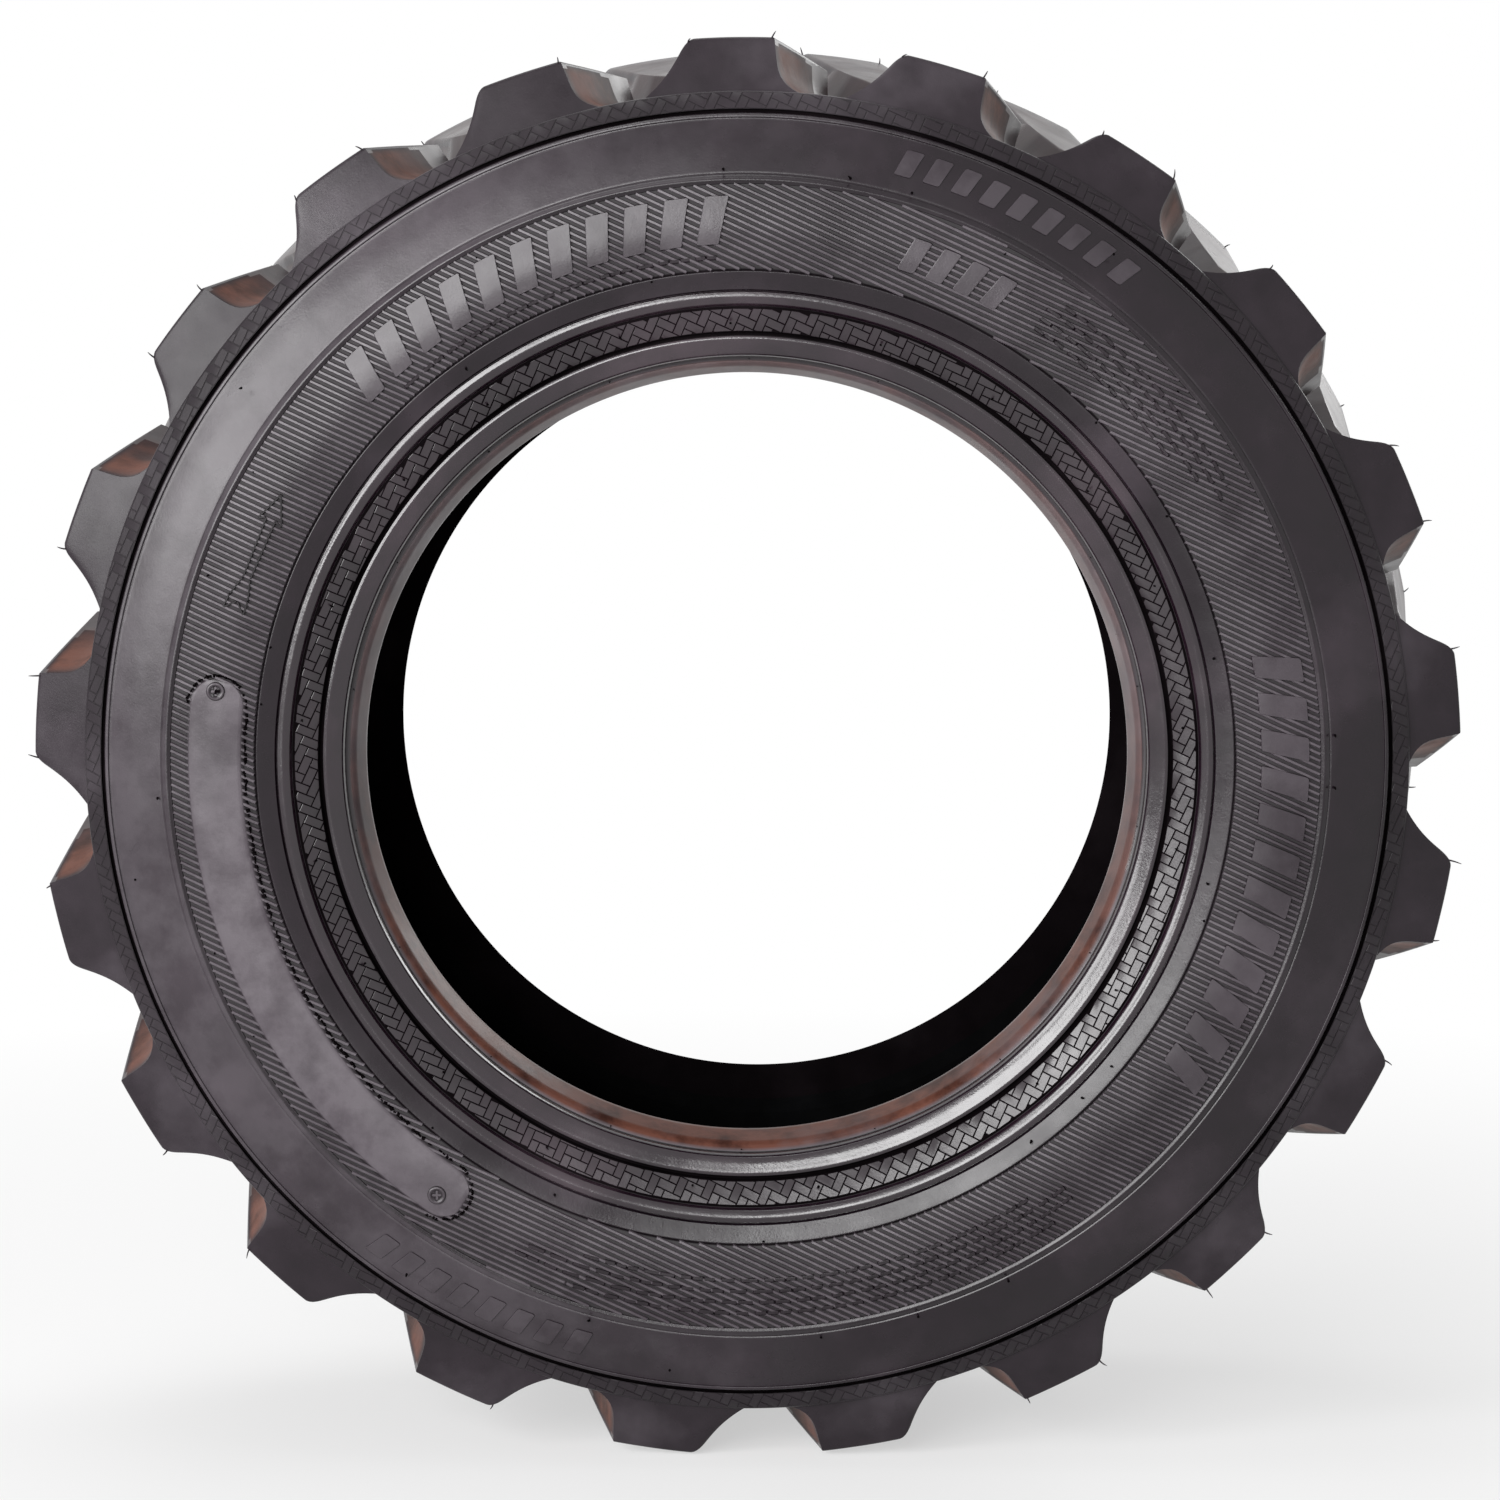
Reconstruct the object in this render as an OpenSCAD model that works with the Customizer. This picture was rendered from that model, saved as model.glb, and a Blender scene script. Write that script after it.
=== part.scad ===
// Bias-ply off-road tyre for a skid-steer loader, built up layer by layer.
// The wheel centre is the origin, the axle runs along Y, +Z is up and the
// outer face of a right-hand wheel looks towards -Y. All sizes in millimetres.
// Sections are drawn as [radius, width] pairs and revolved about the axle.

/* [Overall size] */
// Radius over the tread lugs at the shoulder
lug_r = 381.5; // [379:0.5:384]
// Half the tread width, measured at the lug tops
tread_half = 118.5; // [116:0.5:119]
// Radius of the bead toe, a little under the 16.5 inch rim seat
toe_r = 204.5; // [204:0.1:205]
// Half the width between the bead toes
toe_half = 103; // [102.5:0.5:103]

/* [Tread] */
// Number of lugs in each row
lug_count = 21; // [18:1:22]
// Angle of the first right-hand lug from the top, clockwise seen from -Y
lug_phase = -1.6; // [-8:0.1:8]
// How much lower the lug tops lie at the middle of the tread
crown_hollow = 15.5; // [8:0.5:16]
// Radius of the groove floor at the shoulder
floor_r = 353; // [352:0.5:354]
// Radius of the groove floor along the middle of the tread
floor_mid_r = 347; // [346.5:0.5:348]

/* [Carcass] */
// Thickness of one body ply
ply_t = 1.4; // [1.2:0.1:1.4]
// Thickness of the inner liner
liner_t = 2.4; // [2:0.1:2.6]
// Thickness of the chafer fabric round the bead
chafer_t = 1; // [0.8:0.1:1]
// Thickness of one breaker under the tread
breaker_t = 1.5; // [1.2:0.1:1.6]
// Thickness of the cushion rubber over the breakers
cushion_t = 2; // [1.5:0.1:2.2]

/* [Bead] */
// Radius of the bead bundle's centre
bundle_r = 227; // [226.8:0.1:227.5]
// Distance of the bundle's centre from the mid-plane
bundle_y = 118; // [117.8:0.1:118.2]
// Diameter of one bead wire
wire_d = 1.6; // [1.4:0.1:1.8]
// Spacing of the bead wires
wire_pitch = 2.2; // [2:0.1:2.2]
// Wires along each side of the square bundle
wire_rows = 4; // [2:1:4]

/* [Hidden] */
$fn = 96;
RIGHT = 1;
LEFT = -1;
ply_count = 4;
pitch = 360 / lug_count;
wrap_t = 0.8;
bundle_half = 5.25;
turn_out = ply_count * ply_t;       // outer face of the plies turned round the bead
chafer_out = turn_out + chafer_t;
liner_out = turn_out + liner_t;
tread_black = [0.13, 0.12, 0.13];
side_black = [0.20, 0.18, 0.20];
gum_black = [0.27, 0.25, 0.27];
liner_black = [0.06, 0.06, 0.07];
cord_tan = [0.62, 0.52, 0.38];
wire_bronze = [0.66, 0.50, 0.30];

// ---------------------------------------------------------------- curves

// Catmull-Rom point between b and c
function cr(a, b, c, d, t) =
    0.5 * (2 * b + (c - a) * t + (2 * a - 5 * b + 4 * c - d) * t * t
           + (3 * b - a - 3 * c + d) * t * t * t);
// Smooth curve through pts, n steps to a span
function curve(pts, n) = concat(
    [for (i = [0 : len(pts) - 2], k = [0 : n - 1])
        cr(pts[max(i - 1, 0)], pts[i], pts[i + 1],
           pts[min(i + 2, len(pts) - 1)], k / n)],
    [pts[len(pts) - 1]]);
// Arc about c; angle 0 points to larger radius and 90 to larger width
function arc(c, r, a0, a1, n) =
    [for (k = [0 : n]) let (a = a0 + (a1 - a0) * k / n) c + r * [cos(a), sin(a)]];
function unit(v) = v / norm(v);
function mix(a, b, t) = a + (b - a) * t;
function reversed(p) = [for (i = [len(p) - 1 : -1 : 0]) p[i]];
function part_of(p, i0, i1) = [for (i = [i0 : i1]) p[i]];
// A line from one side up to the mid-plane, and on down the other side
function both_sides(p) = concat(p, [for (i = [len(p) - 2 : -1 : 0]) [p[i][0], -p[i][1]]]);

// ---------------------------------------------------------------- carcass line
// One line from the end of the ply turn-up, down outside the bead bundle,
// under it, up its inner side and along the sidewall to the mid-plane.
// Every layer is an offset of this line, so that neighbours share a face.

corner_r = 4;
wrap_r = bundle_r - bundle_half - wrap_t;          // under the bundle
wrap_out = bundle_y + bundle_half + wrap_t;        // outside the bundle
wrap_in = bundle_y - bundle_half - wrap_t;         // inside the bundle
bundle_top = bundle_r + bundle_half;
outside_leg = curve([[256, 137.5], [247, 133], [239, 128.2], [bundle_top, wrap_out]], 2);
outside_corner = arc([wrap_r + corner_r, wrap_out - corner_r], corner_r, 90, 180, 3);
inside_corner = arc([wrap_r + corner_r, wrap_in + corner_r], corner_r, 180, 270, 3);
inside_leg = curve([[bundle_top, wrap_in], [244, 117], [256, 128.5], [268, 140],
                    [285, 147], [305, 143.5], [321, 127], [330.5, 100], [334.5, 60],
                    [335.5, 0]], 4);
line = concat(outside_leg, outside_corner, inside_corner, inside_leg);
last = len(line) - 1;
i_out = len(outside_leg) - 1;            // outside corner of the bundle's top
i_in = len(line) - len(inside_leg);      // inside corner of the bundle's top
i_join = 2;                              // where rim strip and sidewall part
i_toe = i_in - 1;                        // where chafer and liner meet
i_tip = i_in + 12;                       // tip of the bead filler
i_shoulder = i_in + 23;                  // where sidewall and tread part
i_breaker = i_in + 29;                   // edge of the breakers

// Unit normal at point i, away from the bead bundle and into the air chamber
function normal_at(i) =
    let (d = i == last ? [0, -1] : unit(line[min(i + 1, last)] - line[max(i - 1, 0)]))
    [d[1], -d[0]];
function offset_line(i0, i1, off) = [for (i = [i0 : i1]) line[i] + off * normal_at(i)];

// Layer between two offsets of the line, on one side of the tyre
function side_layer(i0, i1, low, high) =
    concat(offset_line(i0, i1, low), reversed(offset_line(i0, i1, high)));
// Layer that runs across the crown from side to side
function full_layer(i0, low, high) =
    concat(both_sides(offset_line(i0, last, low)),
           reversed(both_sides(offset_line(i0, last, high))));

// ---------------------------------------------------------------- outer surface

seat_taper = 15;
toe_land = 3;
seat_end = [toe_r + 14 * tan(seat_taper), toe_half + toe_land + 14];
// Toe land, tapered seat, heel crease and bead ring, up to the groove above it
bead_face = concat([[toe_r, toe_half], [toe_r, toe_half + toe_land]],
    curve([seat_end, [210.2, 123.2], [213, 125.2]], 3),
    curve([[213.4, 125.4], [214.8, 130.2], [218.2, 134.4], [222.4, 136.4], [224.6, 136]], 3),
    [[225.4, 134.9]]);
// Knurled lower band and the round ridge above it
lower_bands = concat([[226.2, 137.2], [233, 141], [239.2, 143.4], [240.2, 142.6]],
    curve([[240.6, 143.8], [242.6, 146.2], [245.2, 147], [247.6, 146.4]], 3),
    [[248.5, 145]]);
// Smooth band, ribbed belly and smooth upper sidewall, up to the shoulder groove
upper_bands = concat([[248.5, 145]],
    curve([[249.2, 147.4], [259, 150.2], [272, 151.8], [285, 152.5], [304.6, 151],
           [309, 149.4], [325, 144.4], [338.4, 138.4]], 4),
    [[339.6, 139], [341.6, 137.9], [342.5, 135.4]]);
crown_half = 34;                         // half the width of the level groove floor
// Knurled shoulder band and the groove floor, up to the mid-plane
shoulder_face = [[342.5, 135.4], [343.6, 135.6], [floor_r - 0.6, 130.4],
                 [floor_r, 129.4], [floor_r, tread_half], [floor_mid_r, crown_half],
                 [floor_mid_r, 0]];

// ---------------------------------------------------------------- sections

over_breakers = -2 * breaker_t - cushion_t;
rim_strip_2d = concat(bead_face, lower_bands, offset_line(i_join, i_toe, chafer_out),
                      offset_line(i_toe, i_toe, liner_out));
sidewall_2d = concat(upper_bands, reversed(part_of(line, i_tip, i_shoulder)),
                     [line[0]], offset_line(0, i_join, chafer_out));
filler_2d = concat(reversed(part_of(line, 0, i_out)), reversed(part_of(line, i_in, i_tip)));
bundle_2d = offset_line(i_out, i_in, -wrap_t);
tread_inner = concat(part_of(line, i_shoulder, i_breaker),
                     offset_line(i_breaker, last, over_breakers));
tread_2d = concat(both_sides(shoulder_face), reversed(both_sides(tread_inner)));

// ---------------------------------------------------------------- tread lugs
// A lug is a loft of rings, from the outline of its top face down to the
// groove floor. Across the lug, u runs from the trailing to the leading edge,
// and along it v runs from the shoulder to the nose. Each side of the lug
// spreads towards the floor by its own reach and profile.

lug_u = [0, 0.12, 0.4, 0.7, 1];
lug_v = [0, 0.25, 0.5, 0.75, 1];
lug_s = [0, 0.35, 0.7, 0.88, 1];         // depth of the rings, 1 at the skirt
lug_skirt = 0.6;                         // the sides run on this far below the floor
lug_root = 2.5;                          // and the lug is rooted this deep
trail_angle = -3.5;                      // edges of the top face at the shoulder
lead_angle = 3.9;
nose = [[-0.4, 58], [1.6, 24], [4.4, -8], [8.2, 23.5]];   // angles and widths
trail_round = [5, 0.14];                 // drop of the trailing top edge, share of the top
// Reach of each side at its foot, straight share of it, and power of the fillet
trail_flare = [22, 0.65, 3];
lead_flare = [15, 0.25, 6];
near_flare = [10, 1, 1];
nose_flare = [8, 0.5, 4];
lead_taper = 0.6;                        // the leading side reaches less at the nose
nu = len(lug_u) - 1;
nv = len(lug_v) - 1;
ns = len(lug_s) - 1;

// Top of the lugs and the groove floor, by distance from the mid-plane
function top_r(h) = lug_r - crown_hollow * (1 - min(abs(h) / tread_half, 1));
function floor_at(h) = mix(floor_mid_r, floor_r,
    min(max((abs(h) - crown_half) / (tread_half - crown_half), 0), 1));
// Nose outline at u, as angle and width
function nose_at(u) = lookup_pair(nose, u * (len(nose) - 1));
function lookup_pair(p, x) = let (i = min(floor(x), len(p) - 2)) mix(p[i], p[i + 1], x - i);
// Spread of a side at depth s
function flare(s, side) = side[0] * (side[1] * s + (1 - side[1]) * pow(s, side[2]));
// Vertex at u, v and depth s; s over 1 is the root below the floor
function lug_point(u, v, s) =
    let (sd = min(s, 1),
         plan = mix([mix(trail_angle, lead_angle, u), tread_half], nose_at(u), v),
         sweep = mix(-flare(sd, trail_flare), flare(sd, lead_flare) * mix(1, lead_taper, v), u),
         h = plan[1] + mix(flare(sd, near_flare), -flare(sd, nose_flare), v),
         edge = trail_round[0] * pow(max(1 - u / trail_round[1], 0), 2),
         r = s > 1 ? floor_at(h) - lug_root
                   : mix(top_r(plan[1]) - edge, floor_at(h) - lug_skirt, sd),
         a = plan[0] + sweep / floor_r * 180 / PI)
    [r * sin(a), r * cos(a), h];

// The lug's outline as pairs of grid indices, once round
rim = concat([for (i = [0 : nu]) [i, 0]], [for (j = [1 : nv]) [nu, j]],
             [for (i = [nu - 1 : -1 : 0]) [i, nv]], [for (j = [nv - 1 : -1 : 1]) [0, j]]);
grid_n = (nu + 1) * (nv + 1);
rim_n = len(rim);
function cell(i, j) = i + (nu + 1) * j;
function ring_id(l, q) = let (w = rim[q % rim_n])
    l == 0 ? cell(w[0], w[1])
    : l <= ns ? grid_n + rim_n * (l - 1) + q % rim_n
    : grid_n + rim_n * ns + cell(w[0], w[1]);

module lug() {
    root = 2;
    below = grid_n + rim_n * ns;
    points = concat(
        [for (v = lug_v, u = lug_u) lug_point(u, v, 0)],
        [for (l = [1 : ns], w = rim) lug_point(lug_u[w[0]], lug_v[w[1]], lug_s[l])],
        [for (v = lug_v, u = lug_u) lug_point(u, v, root)]);
    faces = concat(
        [for (j = [0 : nv - 1], i = [0 : nu - 1])
            [cell(i, j), cell(i, j + 1), cell(i + 1, j + 1)]],
        [for (j = [0 : nv - 1], i = [0 : nu - 1])
            [cell(i, j), cell(i + 1, j + 1), cell(i + 1, j)]],
        [for (l = [0 : ns], q = [0 : rim_n - 1])
            [ring_id(l, q), ring_id(l, q + 1), ring_id(l + 1, q + 1)]],
        [for (l = [0 : ns], q = [0 : rim_n - 1])
            [ring_id(l, q), ring_id(l + 1, q + 1), ring_id(l + 1, q)]],
        [for (j = [0 : nv - 1], i = [0 : nu - 1])
            [below + cell(i, j), below + cell(i + 1, j + 1), below + cell(i, j + 1)]],
        [for (j = [0 : nv - 1], i = [0 : nu - 1])
            [below + cell(i, j), below + cell(i + 1, j), below + cell(i + 1, j + 1)]]);
    polyhedron(points, faces);
}
module lug_row(phase) {
    for (k = [0 : lug_count - 1])
        rotate([0, 0, -phase - k * pitch]) lug();
}

// ---------------------------------------------------------------- helpers

// Turns the revolve axis onto Y, with the drawn side towards -Y
module axle() { rotate([90, 0, 0]) children(); }
module ring(section) { axle() rotate_extrude() polygon(section); }
// The right-hand side as drawn, or its mirror image on the left
module on_side(s) { mirror([0, s == LEFT ? 1 : 0, 0]) children(); }

// ---------------------------------------------------------------- sub-parts

module inner_liner() { color(liner_black) ring(full_layer(i_toe, turn_out, liner_out)); }
// Ply 1 lies next to the liner and ply 4 next to the bead bundle
module body_ply(k) {
    color(cord_tan) ring(full_layer(0, (ply_count - k) * ply_t, (ply_count + 1 - k) * ply_t));
}
module breaker(k) {
    color(cord_tan) ring(full_layer(i_breaker, -(k - 1) * breaker_t, -k * breaker_t));
}
module cushion_gum() {
    color(gum_black) ring(full_layer(i_breaker, -2 * breaker_t, over_breakers));
}
module tread() {
    color(tread_black) {
        ring(tread_2d);
        axle() lug_row(lug_phase);
        mirror([0, 1, 0]) axle() lug_row(lug_phase + pitch / 2);
    }
}
module wire_sections() {
    first = -(wire_rows - 1) / 2;
    for (a = [0 : wire_rows - 1], b = [0 : wire_rows - 1])
        translate([bundle_r + (first + a) * wire_pitch, bundle_y + (first + b) * wire_pitch])
            circle(d = wire_d, $fn = 16);
}
module bead_wires(s) { color(wire_bronze) on_side(s) axle() rotate_extrude() wire_sections(); }
module bead_rubber(s) {
    color(gum_black) on_side(s) axle() rotate_extrude() difference() {
        polygon(bundle_2d);
        wire_sections();
    }
}
module bead_wrap(s) { color(cord_tan) on_side(s) ring(side_layer(i_out, i_in, -wrap_t, 0)); }
module bead_filler(s) { color(gum_black) on_side(s) ring(filler_2d); }
module chafer(s) { color(cord_tan) on_side(s) ring(side_layer(0, i_toe, turn_out, chafer_out)); }
module rim_strip(s) { color(side_black) on_side(s) ring(rim_strip_2d); }
module sidewall(s) { color(side_black) on_side(s) ring(sidewall_2d); }

inner_liner();
body_ply(1);  // body_ply_1
body_ply(2);  // body_ply_2
body_ply(3);  // body_ply_3
body_ply(4);  // body_ply_4
breaker(1);  // breaker_1
breaker(2);  // breaker_2
cushion_gum();
tread();
bead_wires(RIGHT);  // right_bead_wires
bead_rubber(RIGHT);  // right_bead_rubber
bead_wrap(RIGHT);  // right_bead_wrap
bead_filler(RIGHT);  // right_bead_filler
chafer(RIGHT);  // right_chafer
rim_strip(RIGHT);  // right_rim_strip
sidewall(RIGHT);  // right_sidewall
bead_wires(LEFT);  // left_bead_wires
bead_rubber(LEFT);  // left_bead_rubber
bead_wrap(LEFT);  // left_bead_wrap
bead_filler(LEFT);  // left_bead_filler
chafer(LEFT);  // left_chafer
rim_strip(LEFT);  // left_rim_strip
sidewall(LEFT);  // left_sidewall
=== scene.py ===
import math
import random

import bpy
import numpy as np
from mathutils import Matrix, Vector


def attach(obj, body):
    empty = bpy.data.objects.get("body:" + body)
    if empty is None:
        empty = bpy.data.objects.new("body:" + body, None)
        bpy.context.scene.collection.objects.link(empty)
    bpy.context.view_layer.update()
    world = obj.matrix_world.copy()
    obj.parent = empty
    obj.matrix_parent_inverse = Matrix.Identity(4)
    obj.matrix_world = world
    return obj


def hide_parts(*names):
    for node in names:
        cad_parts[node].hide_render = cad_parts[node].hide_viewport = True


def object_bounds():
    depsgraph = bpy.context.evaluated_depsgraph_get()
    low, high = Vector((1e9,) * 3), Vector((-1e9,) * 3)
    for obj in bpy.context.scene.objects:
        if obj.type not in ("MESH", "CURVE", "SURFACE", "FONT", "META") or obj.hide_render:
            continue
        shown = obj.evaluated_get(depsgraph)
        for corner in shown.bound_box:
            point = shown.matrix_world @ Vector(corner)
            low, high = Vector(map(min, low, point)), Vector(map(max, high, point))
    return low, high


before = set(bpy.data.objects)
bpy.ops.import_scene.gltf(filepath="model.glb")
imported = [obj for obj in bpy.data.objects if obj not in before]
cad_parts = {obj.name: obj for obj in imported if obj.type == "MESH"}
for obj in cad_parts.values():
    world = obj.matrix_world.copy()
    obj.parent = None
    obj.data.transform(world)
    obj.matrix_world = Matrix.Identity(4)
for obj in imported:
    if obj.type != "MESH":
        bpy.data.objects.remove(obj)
cad_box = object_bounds()

# Lengths are in millimetres until an object is made. A point on the tyre is
# [radius, angle, width]: the angle runs clockwise from the top seen from -Y,
# and the width is the distance from the mid-plane on the side in question.
MM = 0.001
RIGHT, LEFT = 1, -1
PI = math.pi
rng = random.Random(12165)

# ---------------------------------------------------------------- camera and stage

CAM_AZIMUTH, CAM_ELEVATION, CAM_DISTANCE = 1.47, 5.8, 2.808
SENSOR_MM, LENS_MM, SHIFT = 36, 120.7, (-0.0008, -0.0109)


def make_camera():
    az, el = math.radians(CAM_AZIMUTH), math.radians(CAM_ELEVATION)
    back = Vector((math.sin(az) * math.cos(el), -math.cos(az) * math.cos(el), math.sin(el)))
    data = bpy.data.cameras.new("camera")
    data.sensor_width = SENSOR_MM
    data.lens = LENS_MM
    data.shift_x, data.shift_y = SHIFT
    data.clip_start, data.clip_end = 0.1, 100
    cam = bpy.data.objects.new("camera", data)
    bpy.context.collection.objects.link(cam)
    cam.location = back * CAM_DISTANCE
    cam.rotation_mode = "QUATERNION"
    cam.rotation_quaternion = (-back).to_track_quat("-Z", "Y")
    bpy.context.scene.camera = cam


def area_light(name, place, size, power):
    """A white lamp that points at the centre of the tyre."""
    data = bpy.data.lights.new(name, "AREA")
    data.shape = "RECTANGLE"
    data.size, data.size_y = size
    data.energy = power
    light = bpy.data.objects.new(name, data)
    bpy.context.collection.objects.link(light)
    light.location = place
    light.rotation_mode = "QUATERNION"
    light.rotation_quaternion = (-Vector(place)).to_track_quat("-Z", "Y")


make_camera()

# ---------------------------------------------------------------- profile lines


def catmull(pts, n):
    """Smooth curve through pts, n steps to a span."""
    p = np.array(pts, float)
    out = []
    for i in range(len(p) - 1):
        a, b, c, d = p[max(i - 1, 0)], p[i], p[i + 1], p[min(i + 2, len(p) - 1)]
        for k in range(n):
            t = k / n
            out.append(0.5 * (2 * b + (c - a) * t + (2 * a - 5 * b + 4 * c - d) * t * t
                              + (3 * b - a - 3 * c + d) * t ** 3))
    out.append(p[-1])
    return out


def arc(c, r, a0, a1, n):
    return [np.array(c) + r * np.array([math.cos(math.radians(a0 + (a1 - a0) * k / n)),
                                        math.sin(math.radians(a0 + (a1 - a0) * k / n))])
            for k in range(n + 1)]


def rounded(pts, radius, n=3):
    """The open line pts with each inner corner rounded off by about radius."""
    p = [np.array(q, float) for q in pts]
    out = [p[0]]
    for a, b, c in zip(p, p[1:], p[2:]):
        da, dc = a - b, c - b
        la, lc = np.linalg.norm(da), np.linalg.norm(dc)
        cut = min(radius, la * 0.45, lc * 0.45)
        s, e = b + da / la * cut, b + dc / lc * cut
        for k in range(n + 1):
            t = k / n
            out.append((1 - t) ** 2 * s + 2 * t * (1 - t) * b + t * t * e)
    return out + [p[-1]]


# The carcass line of the CAD model, from the ply turn-up round the bead to the crown
BUNDLE_R, BUNDLE_W, BUNDLE_HALF, WRAP_T, CORNER_R = 227, 118, 5.25, 0.8, 4
PLIES_T, CHAFER_T, LINER_T = 5.6, 1, 2.4
wrap_r = BUNDLE_R - BUNDLE_HALF - WRAP_T
wrap_out, wrap_in = BUNDLE_W + BUNDLE_HALF + WRAP_T, BUNDLE_W - BUNDLE_HALF - WRAP_T
bundle_top = BUNDLE_R + BUNDLE_HALF
outside_leg = catmull([[256, 137.5], [247, 133], [239, 128.2], [bundle_top, wrap_out]], 2)
inside_leg = catmull([[bundle_top, wrap_in], [244, 117], [256, 128.5], [268, 140], [285, 147],
                      [305, 143.5], [321, 127], [330.5, 100], [334.5, 60], [335.5, 0]], 4)
line = (outside_leg + arc([wrap_r + CORNER_R, wrap_out - CORNER_R], CORNER_R, 90, 180, 3)
        + arc([wrap_r + CORNER_R, wrap_in + CORNER_R], CORNER_R, 180, 270, 3) + inside_leg)
last = len(line) - 1
i_in = len(line) - len(inside_leg)
i_join, i_toe, i_tip, i_shoulder, i_breaker = 2, i_in - 1, i_in + 12, i_in + 23, i_in + 29


def offset_line(i0, i1, off):
    out = []
    for i in range(i0, i1 + 1):
        d = np.array([0, -1.0])
        if i < last:
            d = line[i + 1] - line[max(i - 1, 0)]
            d = d / np.linalg.norm(d)
        out.append(line[i] + off * np.array([d[1], -d[0]]))
    return out


# The outer surface, from the bead toe to the mid-plane
TOE_R, SEAT_START, SEAT_STOP, SEAT_TAPER = 204.5, 106, 120, 15
SEAT_END = [TOE_R + (SEAT_STOP - SEAT_START) * math.tan(math.radians(SEAT_TAPER)), SEAT_STOP]
bead_seat = rounded([[TOE_R, 103], [TOE_R, SEAT_START], SEAT_END, [210.2, 123.2],
                     [213, 125.2]], 1.2, 6)
bead_ring = catmull([[213.4, 125.4], [213.7, 129.8], [214.8, 132.8], [217, 134.2], [220, 135.3],
                     [222.9, 136.2], [224.5, 135.9]], 5)
KNURL_IN, KNURL_OUT = 227.0, 239.2
knurl_floor = [[KNURL_IN, 137.4], [233, 140.5], [KNURL_OUT, 142.9]]
rim_ridge = catmull([[240.6, 143.5], [241.6, 145.3], [243.2, 146.3], [245.4, 147],
                     [247.7, 146.6]], 5)
rim_line = (bead_seat + bead_ring + [[225.0, 133.4], [226.5, 133.4], [226.8, 136.9]] + knurl_floor
            + [[240.2, 142.6]] + rim_ridge + [[248.3, 144.9], [248.5, 145]])
belly = catmull([[249.2, 147.4], [259, 150.2], [272, 151.9], [284, 152.4], [304.6, 150.4],
                 [309, 149.4], [325, 144.4], [338.4, 138.4]], 8)
SHOULDER_IN, SHOULDER_OUT, SHOULDER_SUNK = 343.4, 352.6, 0.25
belly_r, belly_w = np.array(belly)[:, 0], np.array(belly)[:, 1]
RIB_IN, RIB_OUT, RIB_SUNK = 259.6, 304.4, 0.6


def belly_at(r):
    return np.interp(r, belly_r, belly_w)


def knurl_at(r):
    return np.interp(r, *np.array(knurl_floor).T)


def belly_relief(r):
    """Steps and fine lines that run right round the sidewall."""
    w = belly_at(r)
    w = w - 0.75 * math.exp(-((r - 259.2) / 0.45) ** 2)
    w = w - RIB_SUNK * ((r > RIB_IN) & (r < RIB_OUT))
    w = w + 0.75 * math.exp(-((r - 306.4) / 1.5) ** 2)
    w = w - 0.5 * math.exp(-((r - 309.2) / 0.5) ** 2)
    return w


belly_steps = sorted(set(np.round(np.concatenate([
    np.linspace(249.2, 258, 12), np.arange(258.2, 260.4, 0.2), np.linspace(261, 303.6, 26),
    np.arange(303.8, 310.4, 0.3), np.linspace(311, 338.2, 24)]), 3)))
side_line = ([[248.5, 145], [248.7, 146.2]] + [[r, belly_relief(r)] for r in belly_steps]
             + rounded([[338.6, 138.5], [339.0, 139.6], [340.4, 139.4], [341.2, 137.6],
                        [341.6, 133.0], [342.5, 133.0]], 0.4, 4))


def shoulder_w(r):
    return np.interp(r, [342.5, SHOULDER_IN, SHOULDER_OUT], [135.5, 135.5, 130.5])


LUG_COUNT, LUG_PHASE, PITCH = 21, -1.6, 360 / 21
LUG_R, TREAD_HALF, CROWN_HOLLOW = 381.5, 118.5, 15.5
FLOOR_R, FLOOR_MID_R, CROWN_HALF = 353, 347, 34
shoulder_line = ([[342.5, 133.0], [343.1, 133.2]]
                 + [[r, shoulder_w(r) - SHOULDER_SUNK] for r in np.linspace(343.4, 352.0, 8)]
                 + rounded([[352.2, 130.6], [352.9, 129.9], [FLOOR_R, 128.8],
                            [FLOOR_R, TREAD_HALF]], 0.4)
                 + [[FLOOR_MID_R, CROWN_HALF], [FLOOR_MID_R, 0]])

rim_section = (rim_line + offset_line(i_join, i_toe, PLIES_T + CHAFER_T)
               + offset_line(i_toe, i_toe, PLIES_T + LINER_T))
side_section = (side_line + line[i_tip:i_shoulder + 1][::-1] + [line[0]]
                + offset_line(0, i_join, PLIES_T + CHAFER_T))
tread_inner = line[i_shoulder:i_breaker + 1] + offset_line(i_breaker, last, -5)


def both_sides(p):
    return [list(q) for q in p] + [[q[0], -q[1]] for q in p[-2::-1]]


tread_section = both_sides(shoulder_line) + both_sides(tread_inner)[::-1]

# ---------------------------------------------------------------- mesh building

# Each vertex carries a value for wear and painted light: above 0 the second look of its rubber
# shows in patches, below 0 painted shade darkens the surface towards the bottom of a groove.
# A face takes the second or the third material of its mesh where its mean value passes these
# levels.
PATCH_LEVEL, GROOVE_LEVEL = 0.2, -0.85
ROOT = 0.4  # how far raised marks reach down into the surface they stand on


def polar(r, angle, w, side):
    """World points in millimetres from radius, angle in degrees and width."""
    t = np.radians(angle)
    return np.stack(np.broadcast_arrays(r * np.sin(t), -side * np.asarray(w, float),
                                        r * np.cos(t)), axis=-1)


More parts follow.
